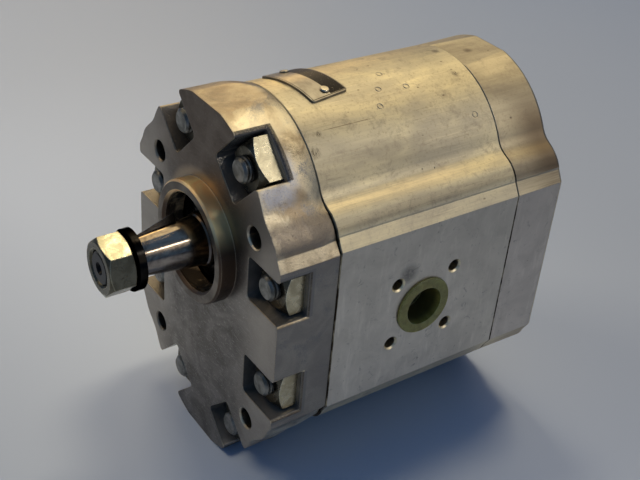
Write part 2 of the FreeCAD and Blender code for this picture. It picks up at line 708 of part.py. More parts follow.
def make_bolt(x, z, turn):
    """Socket head screw along Y, sunk in the rear cover, turned thread rings at the free end."""
    end = HEAD_SEAT_Y - BOLT_LEN
    root = BOLT_R - 0.85
    points = [(0, end), (root - 0.1, end)]
    y = end + 0.9
    for k in range(8):
        points += [(BOLT_R, y), (BOLT_R, y + 0.2), (root, y + 0.75), (root, y + 0.9)]
        y += BOLT_PITCH
    seat = HEAD_SEAT_Y + 0.005
    top = HEAD_SEAT_Y + HEAD_LEN
    points += [(BOLT_R, y), (BOLT_R, seat), (HEAD_R, seat), (HEAD_R, top - 0.8),
               (HEAD_R - 0.8, top), (0, top)]
    socket = hexagon(SOCKET_FLATS, top - SOCKET_DEPTH, top + 1, False, False)
    return moved(turned(points).cut(spun(socket, turn)), x, 0, z)


def make_square_nut(x, z, turn):
    y0, y1 = POCKET_DEPTH - SQUARE_NUT_LEN, POCKET_DEPTH - 0.005
    half = SQUARE_NUT / 2
    block = box(-half, half, y0, y1, -half, half)
    corner = half * math.sqrt(2)
    rise = (corner - half * 0.97) * math.tan(math.radians(30))
    block = block.common(turned([(0, y0), (half * 0.97, y0), (corner + 0.01, y0 + rise),
                                 (corner + 0.01, y1), (0, y1)]))
    block = block.cut(cylinder(BOLT_R + FIT_GAP, y0 - 1, y1 + 1))
    return moved(spun(block, turn), x, 0, z)


def lobe_tool(radius, low, high, x, y):
    """Cylinder square to the top lobe of the body; low and high are heights above its surface."""
    lobe_r, lobe_z = BODY_OUTLINE[0], SECTION_Z + BODY_OUTLINE[1]
    lean = math.asin(x / lobe_r)
    out = V(math.sin(lean), 0, math.cos(lean))
    foot = V(0, y, lobe_z) + out * (lobe_r + low)
    return Part.makeCylinder(radius, high - low, foot, out)


def rivet_tool(radius, low, high, side):
    """Cylinder on the axis of one nameplate rivet."""
    turn = math.radians(PLATE_TURN)
    x = PLATE_X + side * RIVET_SPACING / 2 * math.cos(turn)
    y = PLATE_Y + side * RIVET_SPACING / 2 * math.sin(turn)
    return lobe_tool(radius, low, high, x, y)


def punch_mark(x, y):
    """Small ring groove left by a hollow punch."""
    ring = lobe_tool(PUNCH_OUT_R, -PUNCH_DEPTH, 1, x, y)
    return ring.cut(lobe_tool(PUNCH_IN_R, -1, 2, x, y))


def pit(x, y):
    """Small casting pit in the hollow between the lobe and the neck of the body."""
    ends = [V(point[0], y, point[1] + SECTION_Z) for point in quarter(BODY_OUTLINE)[1]]
    hollow = Part.Arc(*ends).toShape().Curve
    surface = hollow.Center.z - math.sqrt(hollow.Radius ** 2 - (x - hollow.Center.x) ** 2)
    return Part.makeCone(0.1, PIT_R, PIT_DEPTH + 1.5, V(x, y, surface - PIT_DEPTH), V(0, 0, 1))


def make_nameplate():
    """Thin plate bent over the lobe of the body."""
    lobe_r, lobe_z = BODY_OUTLINE[0], SECTION_Z + BODY_OUTLINE[1]
    shell = tube(lobe_r + 0.02, lobe_r + 0.02 + PLATE_THICK, PLATE_Y - 40, PLATE_Y + 40, 0, lobe_z)
    cutter = box(-PLATE_LEN / 2, PLATE_LEN / 2, -PLATE_WIDTH / 2, PLATE_WIDTH / 2, 0, 80)
    corners = [edge for edge in cutter.Edges if abs(edge.Length - 80) < 0.01]
    cutter = cutter.makeFillet(1.2, corners)
    cutter.rotate(V(0, 0, 0), V(0, 0, 1), PLATE_TURN)
    cutter.translate(V(PLATE_X, PLATE_Y, lobe_z + 10))
    plate = shell.common(cutter)
    for side in (1, -1):
        plate = plate.cut(rivet_tool(RIVET_R + FIT_GAP, -1, 3, side))
    return plate


def make_rivet(side):
    seat = 0.02 + PLATE_THICK + 0.12
    shank = rivet_tool(RIVET_R, -RIVET_LEN, seat + 0.1, side)
    head = rivet_tool(RIVET_HEAD_R, seat, seat + RIVET_HEAD, side)
    rim = [edge for edge in head.Edges if edge.Closed]
    highest = max(rim, key=lambda edge: edge.CenterOfMass.z)
    head = head.makeFillet(RIVET_HEAD * 0.8, [highest])
    return joined([shank, head])


# ---- transport plugs ---------------------------------------------------------------------

def make_plug(side, bore_r, rim_r):
    """Push-in cup plug with a flat rim outside the port."""
    cup_r = bore_r - PLUG_GAP
    start = SIDE_HALF + PLUG_GAP
    profile = [(cup_r - PLUG_WALL - 0.3, start + PLUG_RIM), (rim_r - 0.4, start + PLUG_RIM),
               (rim_r, start + PLUG_RIM - 0.4), (rim_r, start), (cup_r, start),
               (cup_r - 0.25, SIDE_HALF - PLUG_DEPTH), (0, SIDE_HALF - PLUG_DEPTH),
               (0, SIDE_HALF - PLUG_DEPTH + 1.4), (cup_r - PLUG_WALL - 0.6, SIDE_HALF - PLUG_DEPTH + 1.4)]
    shape = turned(profile)
    shape.rotate(V(0, 0, 0), V(0, 0, 1), -90 * side)
    shape.translate(V(0, PORT_Y, GEAR_MID_Z))
    return shape


# ---- export ------------------------------------------------------------------------------

os.makedirs("parts", exist_ok=True)

save("front_cover", make_front_cover())
save("pump_body", make_pump_body())
save("rear_cover", make_rear_cover())
save("drive_gear_shaft", make_drive_shaft())
save("driven_gear_shaft", make_driven_shaft())

front_start, front_end = JOINT_FRONT + 0.03, GEAR_FRONT - FACE_PLAY
rear_start, rear_end = GEAR_REAR + FACE_PLAY, JOINT_REAR - 0.03
save("front_bearing_block", make_block(front_start, front_end, front_start))
save("rear_bearing_block", make_block(rear_start, rear_end, rear_end))
for place, bush_start, bush_end in (("front", front_start + 2, front_end - 0.5),
                                    ("rear", rear_start + 0.5, rear_end - 2)):
    save(place + "_drive_bush", tube(BUSH_BORE_R, BUSH_R, bush_start, bush_end))
    save(place + "_driven_bush", tube(BUSH_BORE_R, BUSH_R, bush_start, bush_end, 0, -GEAR_SPACING))
save("front_pressure_seal", pressure_seal(front_start + 0.02, front_start + PRESSURE_SEAL_DEPTH - 0.02, 0.02))
save("rear_pressure_seal", pressure_seal(rear_end - PRESSURE_SEAL_DEPTH + 0.02, rear_end - 0.02, 0.02))
save("front_body_seal", face_seal(JOINT_FRONT - FACE_SEAL_DEPTH + 0.02, JOINT_FRONT - 0.01, 0.02))
save("rear_body_seal", face_seal(JOINT_REAR + 0.01, JOINT_REAR + FACE_SEAL_DEPTH - 0.02, 0.02))

seal_case, seal_lip, garter_spring = make_seal_parts()
save("shaft_seal_case", seal_case)
save("shaft_seal_lip", seal_lip)
save("seal_garter_spring", garter_spring)
save("seal_circlip", make_circlip())

save("woodruff_key", make_key())
save("shaft_nut", make_shaft_nut())
save("spring_lock_washer", make_spring_washer())

save("cover_bolts", [make_bolt(x, z, turn + 11 * x) for x, z, turn in bolt_places()])
save("square_nuts", [make_square_nut(x, z, turn) for x, z, turn in bolt_places()])
for place, joint in (("front", JOINT_FRONT), ("rear", JOINT_REAR)):
    pins = [cylinder(DOWEL_R, joint - DOWEL_LEN / 2, joint + DOWEL_LEN / 2, x, z)
            for x, z in dowel_places()]
    save(place + "_dowels", pins)

save("nameplate", make_nameplate())
save("nameplate_rivets", [make_rivet(1), make_rivet(-1)])
save("inlet_port_plug", make_plug(1, INLET_R, INLET_RIM_R))
save("outlet_port_plug", make_plug(-1, OUTLET_R, OUTLET_RIM_R))
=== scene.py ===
"""Looks of the hydraulic gear pump: materials, floor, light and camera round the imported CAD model."""
import math
import bpy
from mathutils import Matrix, Vector


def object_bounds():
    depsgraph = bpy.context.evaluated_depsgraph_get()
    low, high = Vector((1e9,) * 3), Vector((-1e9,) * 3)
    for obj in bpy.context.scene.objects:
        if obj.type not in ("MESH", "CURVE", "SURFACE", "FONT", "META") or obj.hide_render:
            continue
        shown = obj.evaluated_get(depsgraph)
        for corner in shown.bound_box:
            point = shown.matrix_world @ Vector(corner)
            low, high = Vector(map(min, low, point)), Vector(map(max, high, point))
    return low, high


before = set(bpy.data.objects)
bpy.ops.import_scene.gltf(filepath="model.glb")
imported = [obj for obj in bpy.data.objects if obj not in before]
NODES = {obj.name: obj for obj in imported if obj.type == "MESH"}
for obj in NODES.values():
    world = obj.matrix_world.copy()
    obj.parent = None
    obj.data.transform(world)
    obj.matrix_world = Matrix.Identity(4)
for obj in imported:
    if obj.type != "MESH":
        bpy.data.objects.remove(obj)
cad_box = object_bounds()
scene = bpy.context.scene

# ---- camera ------------------------------------------------------------------------------
CAMERA_AT = (0.2981, -0.1703, 0.2257)
AZIMUTH, ELEVATION, ROLL = 52.72, 33.08, 5.16
LENS, SENSOR = 59.36, 36


def make_camera():
    az, el, roll = (math.radians(v) for v in (AZIMUTH, ELEVATION, ROLL))
    back = Vector((math.cos(el) * math.sin(az), -math.cos(el) * math.cos(az), math.sin(el)))
    level = Vector((math.cos(az), math.sin(az), 0))
    upward = back.cross(level)
    right = level * math.cos(roll) + upward * math.sin(roll)
    up = upward * math.cos(roll) - level * math.sin(roll)
    data = bpy.data.cameras.new("photo_camera")
    data.lens = LENS
    data.sensor_width = SENSOR
    data.clip_start = 0.01
    camera = bpy.data.objects.new("photo_camera", data)
    turn = Matrix((right, up, back)).transposed().to_4x4()
    camera.matrix_world = Matrix.Translation(CAMERA_AT) @ turn
    scene.collection.objects.link(camera)
    scene.camera = camera


make_camera()
scene.view_settings.view_transform = "Standard"
scene.view_settings.look = "None"


# ---- places on the pump, in millimetres --------------------------------------------------

FRONT_JOINT, REAR_JOINT = 26.3, 113.4
SECTION_Z = -20.3
SPIGOT_R, BORE_R = 25.0, 20.0
SHAFT_Z, DRIVEN_Z = 0.0, -44.0
THREAD_START, THREAD_ROOT_R, THREAD_PITCH = -28.0, 6.0, 1.5
# where the dark end of the drive shaft begins, and where painted shade fades in down the plugs' cups
DARK_END_Y = -41.5
PLUG_RIM_X, PLUG_CUP_X = 54.2, 50.5

# clamping screws from the middle of the section, across and up
SIDE_BOLT, DIAGONAL_BOLT = (42.4, 22.6), (21.3, 60.6)
# nut pockets: depth from the flange face, reach inward of the screw, and half widths
POCKET_DEPTH, POCKET_BACK = 13.0, 9.6
SIDE_POCKET, DIAGONAL_POCKET = 9.4, 9.9

# nameplate: middle, turn in degrees, size, and the black band along one long edge
PLATE_X, PLATE_Y, PLATE_TURN = -3.0, 44.4, 8.0
PLATE_LENGTH, PLATE_WIDTH = 30.0, 17.5
BAND_HALF_LENGTH, BAND_LOW, BAND_HIGH = 14.1, 0.8, 8.0

# heights of the bands along the body's flute, from its bevel up to the darker flank, with painted
# highlights on the bevel and neck and painted shade in the hollow
BEVEL_TOP, HOLLOW_Z, NECK_Z, FLANK_Z = 22.0, (22.9, 26.6), (28.0, 30.5), (35.5, 44.0)
# heights of the bands on the front cover: a painted highlight on the bevel, painted shade on the neck,
# and a painted highlight on the shoulder of its lobe
COVER_BEVEL_Z, COVER_NECK_Z, SHOULDER_Z = (15.8, 20.2), (20.4, 29.5), (52.0, 57.0)

# rough grey areas on the front cover's right flank: low and high y, low and high z
GREY_PATCHES = ((1.0, 14.0, 34.5, 41.0), (13.0, 16.5, 38.0, 48.0))
COVER_HATCH_AT, COVER_HATCH_REACH = (29.5, 19.5, 47.8), 5.0
# dirt and wear: places, each with the size of its mark
BODY_SIDE_MARKS = (((53.5, 55.7, -7.9), 3.4), ((53.5, 84.0, -7.9), 3.6), ((53.5, 84.0, -36.1), 3.2),
                   ((53.5, 55.7, -36.1), 3.0), ((53.5, 60.0, -4.0), 6.0))
BODY_LOBE_MARKS = (((-2.6, 109.0, 57.1), 2.4),)
BODY_HASH_MARKS = (((29.5, 28.5, 45.0), 3.0), ((24.5, 33.0, 49.2), 1.6), ((14.2, 106.0, 55.0), 2.0))
REAR_LOBE_MARKS = (((1.0, 124.0, 56.0), 2.6), ((42.5, 134.5, 32.5), 1.2), ((51.5, 137.0, 21.0), 2.2))
# scratches along the top of the body: x, and y at both ends
BODY_SCRATCHES = ((23.7, 36.0, 57.0),)


# ---- node helpers ------------------------------------------------------------------------

class Look:
    """A node material built from sockets; lengths are in millimetres in the pump's frame."""

    def __init__(self, name, metallic=0.0):
        self.material = bpy.data.materials.new(name)
        self.material.use_nodes = True
        self.tree = self.material.node_tree
        self.shader = self.tree.nodes["Principled BSDF"]
        self.shader.inputs["Metallic"].default_value = metallic
        coords = self.node("ShaderNodeTexCoord")
        scaled = self.node("ShaderNodeVectorMath", operation="SCALE")
        scaled.inputs["Scale"].default_value = 1000.0
        self.tree.links.new(coords.outputs["Object"], scaled.inputs[0])
        self.place = scaled.outputs[0]
        self.x, self.y, self.z = self.split(self.place)
        self.nx, self.ny, self.nz = self.split(coords.outputs["Normal"])
        self.fray = self.noise(1.3, 5, 0.65, shift=3.3)

    def node(self, kind, **settings):
        made = self.tree.nodes.new(kind)
        for key, value in settings.items():
            setattr(made, key, value)
        return made

    def put(self, socket, value):
        """Link a socket, or write a plain number or colour."""
        if isinstance(value, bpy.types.NodeSocket):
            self.tree.links.new(value, socket)
        elif isinstance(value, (tuple, list)) and len(value) == 3 and len(socket.default_value) == 4:
            socket.default_value = (*value, 1.0)
        else:
            socket.default_value = value

    def split(self, vector):
        made = self.node("ShaderNodeSeparateXYZ")
        self.put(made.inputs[0], vector)
        return made.outputs

    # -- numbers

    def math(self, operation, a, b=0.0):
        made = self.node("ShaderNodeMath", operation=operation)
        self.put(made.inputs[0], a)
        self.put(made.inputs[1], b)
        return made.outputs[0]

    def plus(self, a, b):
        return self.math("ADD", a, b)

    def minus(self, a, b):
        return self.math("SUBTRACT", a, b)

    def times(self, a, b):
        """Product: where both masks hold, or a mask at part strength."""
        return self.math("MULTIPLY", a, b)

    def either(self, a, b):
        return self.math("MAXIMUM", a, b)

    def flip(self, mask):
        return self.minus(1.0, mask)

    def absolute(self, value):
        return self.math("ABSOLUTE", value)

    def lerp(self, amount, a, b):
        made = self.node("ShaderNodeMix", data_type="FLOAT")
        for index, item in ((0, amount), (2, a), (3, b)):
            self.put(made.inputs[index], item)
        return made.outputs[0]

    def mix(self, amount, a, b, blend="MIX"):
        """Colour a turned into colour b by amount."""
        made = self.node("ShaderNodeMix", data_type="RGBA", blend_type=blend)
        for index, item in ((0, amount), (6, a), (7, b)):
            self.put(made.inputs[index], item)
        return made.outputs[2]

    def step(self, value, low, high, out_low=0.0, out_high=1.0):
        """Smooth ramp of a value from out_low at low to out_high at high."""
        made = self.node("ShaderNodeMapRange", interpolation_type="SMOOTHSTEP")
        for index, item in enumerate((value, low, high, out_low, out_high)):
            self.put(made.inputs[index], item)
        return made.outputs[0]

    def inside(self, value, low, high, soft=0.3):
        """Mask of a value between two limits."""
        rise = self.step(value, low - soft, low + soft)
        return self.times(rise, self.step(value, high + soft, high - soft))

    def radius(self, up):
        """Distance from an axis along Y, given the height above it."""
        return self.math("SQRT", self.plus(self.times(self.x, self.x), self.times(up, up)))

    def helix(self, up, pitch):
        """Angle about the axis, in millimetres of a thread's pitch."""
        return self.times(self.math("ARCTAN2", self.x, up), pitch / (2 * math.pi))

    def wave(self, value, length):
        """Rounded ridges, one every length millimetres."""
        phase = self.times(value, 2 * math.pi / length)
        return self.times(self.plus(self.math("SINE", phase), 1.0), 0.5)

    # -- patterns

    def mapped(self, stretch, shift):
        made = self.node("ShaderNodeMapping")
        made.inputs["Scale"].default_value = [1.0 / s for s in stretch]
        made.inputs["Location"].default_value = shift
        self.put(made.inputs["Vector"], self.place)
        return made.outputs[0]

    def noise(self, size, detail=4.0, rough=0.55, stretch=(1, 1, 1), warp=0.0, shift=0.0):
        """Noise with features of about size millimetres, longer along axes with a bigger stretch."""
        made = self.node("ShaderNodeTexNoise")
        made.inputs["Scale"].default_value = 1.0 / size
        made.inputs["Detail"].default_value = detail
        made.inputs["Roughness"].default_value = rough
        made.inputs["Distortion"].default_value = warp
        self.put(made.inputs["Vector"], self.mapped(stretch, (shift, shift * 0.7, -shift)))
        return made.outputs["Fac"]

    def cells(self, size, stretch=(1, 1, 1), shift=0.0):
        """Distance to scattered points about size millimetres apart, as a share of size."""
        made = self.node("ShaderNodeTexVoronoi", feature="F1")
        made.inputs["Scale"].default_value = 1.0 / size
        self.put(made.inputs["Vector"], self.mapped(stretch, (shift, -shift, shift * 0.5)))
        return made.outputs["Distance"]

    def lines(self, size, stretch, shift, width=0.02):
        """Thin scratches where a stretched noise crosses its middle."""
        level = self.absolute(self.minus(self.noise(size, 2, 0.5, stretch, 0.0, shift), 0.5))
        return self.step(level, width, width * 0.3)

    def near(self, place, size):
        """Mask that fades from 1 at a place to 0 at size millimetres from it, with a ragged edge."""
        away = self.node("ShaderNodeVectorMath", operation="DISTANCE")
        self.put(away.inputs[0], self.place)
        away.inputs[1].default_value = place
        ragged = self.times(self.fray, size * 0.9)
        return self.step(self.plus(away.outputs["Value"], ragged), size * 1.45, size * 0.7)

    def seam(self, station, top_fade):
        """Dark oily line along a housing joint, uneven in width and fainter over the top."""
        away = self.absolute(self.minus(self.y, station))
        ragged = self.times(self.noise(5.0, 4, 0.7, shift=station), 0.5)
        line = self.step(self.minus(away, ragged), 0.28, 0.05)
        faint = self.step(self.noise(9.0, 3, 0.6, shift=station * 0.3), 0.35, 0.6, 0.45, 1.0)
        return self.times(self.times(line, faint), self.step(self.z, 26.0, 46.0, 1.0, top_fade))

    def pocket(self, margin=0.0):
        """Mask of the eight nut pockets, widened by margin past their upper and end walls."""
        across = self.absolute(self.x)
        height = self.absolute(self.minus(self.z, SECTION_Z))
        depth = self.inside(self.y, 0.35, POCKET_DEPTH + 0.3 + margin)
        back = SIDE_BOLT[0] - POCKET_BACK
        beside = self.minus(height, SIDE_BOLT[1])
        side = self.times(self.step(across, back - 0.5, back - 0.2),
                          self.inside(beside, -SIDE_POCKET - 0.2, SIDE_POCKET + 0.2 + margin, 0.1))
        dx = self.minus(across, DIAGONAL_BOLT[0])
        dz = self.minus(height, DIAGONAL_BOLT[1])
        outward = self.times(self.plus(dx, dz), math.sqrt(0.5))
        sideways = self.times(self.minus(dz, dx), math.sqrt(0.5))
        reach = self.inside(sideways, -DIAGONAL_POCKET - 0.2, DIAGONAL_POCKET + 0.2 + margin, 0.1)
        diagonal = self.times(self.step(outward, -POCKET_BACK - 0.5, -POCKET_BACK - 0.2), reach)
        return self.times(depth, self.either(side, diagonal))

    # -- shape

    def occlusion(self, distance):
        """1 in the open, falling to 0 deep in corners and holes."""
        made = self.node("ShaderNodeAmbientOcclusion", samples=6)
        made.inputs["Distance"].default_value = distance / 1000.0
        return made.outputs["AO"]

    def round_edges(self, radius):
        """Normal with its sharp edges rounded."""
        bevel = self.node("ShaderNodeBevel", samples=6)
        bevel.inputs["Radius"].default_value = radius / 1000.0
        return bevel.outputs[0]

    def edge(self, radius, low, high):
        """Mask of convex and concave edges, from a rounded normal against the true one."""
        geometry = self.node("ShaderNodeNewGeometry")
        dot = self.node("ShaderNodeVectorMath", operation="DOT_PRODUCT")
        self.put(dot.inputs[0], self.round_edges(radius))
        self.put(dot.inputs[1], geometry.outputs["Normal"])
        return self.step(self.flip(dot.outputs["Value"]), low, high)

    def bump(self, height, depth, normal):
        """Bump of a 0 to 1 height that stands for depth millimetres."""
        made = self.node("ShaderNodeBump")
        made.inputs["Strength"].default_value = 1.0
        made.inputs["Distance"].default_value = depth / 1000.0
        self.put(made.inputs["Height"], height)
        self.put(made.inputs["Normal"], normal)
        return made.outputs[0]

    def finish(self, colour, roughness, normal=None, **sockets):
        self.put(self.shader.inputs["Base Color"], colour)
        self.put(self.shader.inputs["Roughness"], roughness)
        if normal is not None:
            self.put(self.shader.inputs["Normal"], normal)
        for key, value in sockets.items():
            self.put(self.shader.inputs[key.replace("_", " ")], value)
        return self.material


def toned(colour, factor):
    """Colour made lighter or darker."""
    return [min(1.0, channel * factor) for channel in colour]


def dress(material, *names):
    """Give CAD nodes a material through their slots."""
    for name in names:
        for slot in NODES[name].material_slots:
            slot.material = material


# ---- front cover -------------------------------------------------------------------------

def grey_patch(look, grain):
    """Rough grey areas of the cast skin, on the right flank only."""
    wander = look.times(look.minus(look.noise(2.5, 5, 0.7, shift=4.4), 0.5), 6.0)
    patch = 0.0
    for low_y, high_y, low_z, high_z in GREY_PATCHES:
        spot = look.times(look.inside(look.plus(look.y, wander), low_y, high_y, 2.4),
                          look.inside(look.plus(look.z, wander), low_z, high_z, 2.4))
        patch = look.either(patch, spot)
    patch = look.times(patch, look.step(look.x, 20.0, 24.0))
    return look.times(patch, look.step(grain, 0.25, 0.6, 0.35, 0.9))


def cast_skin(look, grain, blots, rough_skin, patch):
    """Tone of the cast outside: cloudy bare metal, painted shade on the neck, a darker crown, painted
    highlights on the bevel and shoulder, and painted shade round the pocket rims.
    """
    cloud = look.noise(13.0, 4, 0.6, warp=0.6, shift=9.3)
    skin = look.mix(look.step(cloud, 0.36, 0.64), (0.38, 0.30, 0.20), (0.80, 0.70, 0.50))
    skin = look.mix(rough_skin, skin, (0.36, 0.36, 0.37))
    # Painted shade: the concave neck band of the right flank is darkened to brown-grey.
    neck = look.times(look.inside(look.z, *COVER_NECK_Z, 1.5), look.step(look.x, 20.0, 24.0))
    neck = look.times(neck, look.step(blots, 0.25, 0.6, 0.55, 1.0))
    skin = look.mix(neck, skin, (0.255, 0.22, 0.18))
    # Painted highlight: the bevel band below the neck is lightened to pale gold.
    bevel = look.times(look.inside(look.z, *COVER_BEVEL_Z, 0.2), look.step(blots, 0.35, 0.6, 0.3, 0.9))
    skin = look.mix(bevel, skin, (0.83, 0.71, 0.50))
    skin = look.mix(patch, skin, (0.58, 0.59, 0.65))
    skin = look.mix(look.step(grain, 0.54, 0.75, 0.0, 0.6), skin, (0.16, 0.125, 0.09))
    crown = look.times(look.step(look.x, 16.0, 4.0), look.step(look.y, 24.0, 10.0, 0.5, 1.0))
    crown = look.times(crown, look.step(blots, 0.2, 0.6, 0.6, 0.85))
    skin = look.mix(crown, skin, (0.22, 0.19, 0.155))
    # Painted highlight: a bright patch on the shoulder of the lobe.
    shoulder = look.times(look.inside(look.z, *SHOULDER_Z, 2.0), look.step(look.x, 8.0, 14.0))
    shoulder = look.times(shoulder, look.step(blots, 0.3, 0.6, 0.2, 0.6))
    skin = look.mix(shoulder, skin, (0.98, 0.90, 0.68))
    # Painted shade: the nut pockets and a band past their upper and end walls turn near black.
    rim = look.times(look.pocket(2.0), look.step(look.absolute(look.x), 12.0, 14.0))
    rim = look.times(rim, look.step(grain, 0.3, 0.7, 0.75, 1.0))
    skin = look.mix(rim, skin, (0.075, 0.068, 0.062))
    hatch = look.either(look.lines(0.5, (7, 0.35, 7), 2.0), look.lines(0.5, (0.4, 7, 7), 9.0))
    where = look.either(look.near(COVER_HATCH_AT, COVER_HATCH_REACH),
                        look.step(cloud, 0.60, 0.66, 0.0, 0.5))
    skin = look.mix(look.times(hatch, where), skin, (0.10, 0.08, 0.06))
    flat_side = look.step(look.absolute(look.nx), 0.97, 0.995)
    return look.mix(look.times(flat_side, 0.85), skin, (0.21, 0.205, 0.20))


def flange_face(look, stain, radius):
    """Tone of the machined face: stained, browner above, paler outward, and bright round the spigot
    with a painted reflection of it.
    """
    tone = look.mix(look.step(stain, 0.30, 0.72), (0.145, 0.127, 0.107), (0.24, 0.217, 0.19))
    smear = look.step(look.noise(7.0, 4, 0.6, warp=0.8, shift=1.3), 0.50, 0.80, 0.0, 0.35)
    tone = look.mix(smear, tone, (0.14, 0.115, 0.09))
    tone = look.mix(look.lines(0.45, (14, 1, 2), 4.0, 0.012), tone, (0.42, 0.39, 0.34))
    scuff = look.step(look.noise(1.1, 5, 0.7, shift=12.0), 0.64, 0.72, 0.0, 0.35)
    tone = look.mix(scuff, tone, (0.50, 0.47, 0.41))
    brown = look.step(look.plus(look.z, look.times(stain, 40.0)), 10.0, 55.0)
    tone = look.mix(look.times(brown, 0.75), tone, (0.125, 0.088, 0.058))
    outward = look.step(look.absolute(look.x), 20.0, 45.0, 0.0, 0.72)
    tone = look.mix(outward, tone, (0.46, 0.41, 0.345))
    # Painted reflection: a golden ring where the spigot shows in the face round it.
    collar_reflection = look.times(look.step(radius, 30.5, 26.5), look.step(look.z, 5.0, 15.0))
    return look.mix(look.times(collar_reflection, 0.8), tone, (0.42, 0.32, 0.21))


def spigot_tone(look, stain, face):
    """Tone of the turned spigot: golden above, partly a painted highlight, brown below as painted
    shade, with a dark end ring.
    """
    # Bright gold tones, partly the turned metal and partly a painted highlight.
    tone = look.mix(look.step(stain, 0.40, 0.62), (1.0, 0.66, 0.32), (1.0, 0.84, 0.47))
    # Painted shade: the lower part of the spigot turns dark brown.
    tone = look.mix(look.step(look.z, 19.0, 7.0), tone, (0.11, 0.075, 0.052))
    end_ring = look.mix(look.step(stain, 0.38, 0.66), (0.11, 0.09, 0.068), (0.26, 0.22, 0.175))
    return look.mix(face, tone, end_ring)


def cast_cover():
    """Front cover: oily machined face, turned spigot, worn cast skin, grimy pockets and bore, with
    painted shade in corners and holes, painted light on the right-hand pocket walls and painted glints
    in the bore.
    """
    look = Look("cast_aluminium", metallic=1.0)
    radius = look.radius(look.z)
    face = look.step(look.ny, -0.9, -0.97)
    spigot = look.times(look.step(radius, SPIGOT_R + 0.6, SPIGOT_R + 0.2), look.step(look.y, 0.2, -0.2))
    bore = look.times(look.step(radius, BORE_R + 0.9, BORE_R + 0.4),
                      look.step(look.y, -6.5, -4.0))
    pocket = look.pocket()
    # Painted shade: occluded corners, pocket walls and holes darken, at 0.3 strength on the flange
    # face.
    painted_shade = look.step(look.occlusion(9.0), 0.35, 0.75, 0.8, 0.0)
    deep = look.times(painted_shade, look.step(face, 0.2, 0.8, 1.0, 0.3))

    grain = look.noise(0.5, 5, 0.65)
    blots = look.noise(9.0, 5, 0.62, warp=0.5, shift=3.1)
    stain = look.noise(16.0, 5, 0.6, warp=0.8, shift=6.0)
    rough_skin = look.step(look.plus(blots, look.times(grain, 0.55)), 0.80, 1.0, 0.0, 0.8)
    patch = grey_patch(look, grain)

    tone = look.mix(face, cast_skin(look, grain, blots, rough_skin, patch),
                    flange_face(look, stain, radius))
    # Painted shade in corners and holes, dark as oil.
    tone = look.mix(deep, tone, (0.06, 0.052, 0.042))
    tone = look.mix(spigot, tone, spigot_tone(look, stain, face))
    # Pocket walls get a grime tone, lighter than the painted shade beneath; its full strength on the
    # right-hand pockets is painted light, about a third on the left.
    grime = look.mix(look.step(stain, 0.35, 0.7), (0.18, 0.168, 0.15), (0.32, 0.29, 0.25))
    tone = look.mix(look.times(pocket, look.step(look.x, -8.0, 8.0, 0.35, 1.0)), tone, grime)
    # Bore: dark oil with bright gold blots; the gold blots are painted glints.
    oil = look.mix(look.step(blots, 0.45, 0.62), (0.10, 0.078, 0.056), (0.80, 0.60, 0.36))
    tone = look.mix(bore, tone, oil)
    worn = look.times(look.edge(0.45, 0.01, 0.12), look.step(grain, 0.30, 0.62, 0.2, 0.9))
    worn = look.times(worn, look.flip(look.either(deep, bore)))
    worn = look.times(worn, look.step(face, 0.2, 0.8, 1.0, 0.35))
    tone = look.mix(worn, tone, (0.62, 0.52, 0.36))
    tone = look.mix(look.seam(FRONT_JOINT, 0.25), tone, (0.035, 0.028, 0.02))

    wet = look.either(pocket, bore)
    gloss = look.lerp(look.either(rough_skin, patch), 0.35, 0.60)
    gloss = look.lerp(face, gloss, look.step(stain, 0.3, 0.7, 0.50, 0.36))
    gloss = look.lerp(spigot, gloss, 0.40)
    gloss = look.lerp(wet, gloss, 0.24)

    pores = look.step(look.cells(1.7, shift=5.0), 0.16, 0.05)
    height = look.lerp(face, look.plus(look.times(blots, 2.5), grain), 0.0)
    height = look.minus(height, look.times(pores, 1.2))
    normal = look.bump(height, 0.12, look.round_edges(0.7))
    strokes = look.times(look.noise(0.5, 4, 0.7, stretch=(5, 1, 5), shift=3.7), look.flip(face))
    normal = look.bump(strokes, 0.05, normal)
    normal = look.bump(look.times(look.wave(radius, 0.35), spigot), 0.006, normal)
    normal = look.bump(look.noise(0.3, 3, stretch=(9, 1, 1.5), shift=2.2), 0.012, normal)
    return look.finish(tone, gloss, normal, Metallic=look.flip(look.times(wet, 0.5)))


# ---- body and rear cover -----------------------------------------------------------------

def soiled(look, tone, marks, uneven, colour):
    """Tone with a mark of a colour at each place."""
    for place, size in marks:
        tone = look.mix(look.times(look.near(place, size), uneven), tone, colour)
    return tone


def milled_side(look, side_tone, shift, haze, stains, marks):
    """Tone of the flat milled sides: hazy, rubbed, stained, a little darker above."""
    tone = look.mix(look.step(haze, 0.30, 0.72), toned(side_tone, 0.78), side_tone)
    rub = look.noise(1.0, 4, 0.7, stretch=(1, 3, 16), shift=shift + 6)
    tone = look.mix(look.step(rub, 0.50, 0.78, 0.0, 0.45), tone, toned(side_tone, 1.3))
    tone = look.mix(stains, tone, (0.13, 0.13, 0.13))
    tone = soiled(look, tone, marks, look.step(look.fray, 0.2, 0.62, 0.25, 0.8), (0.10, 0.10, 0.10))
    return look.mix(look.step(look.z, -25.0, 8.0, 0.0, 0.22), tone, toned(side_tone, 0.5))


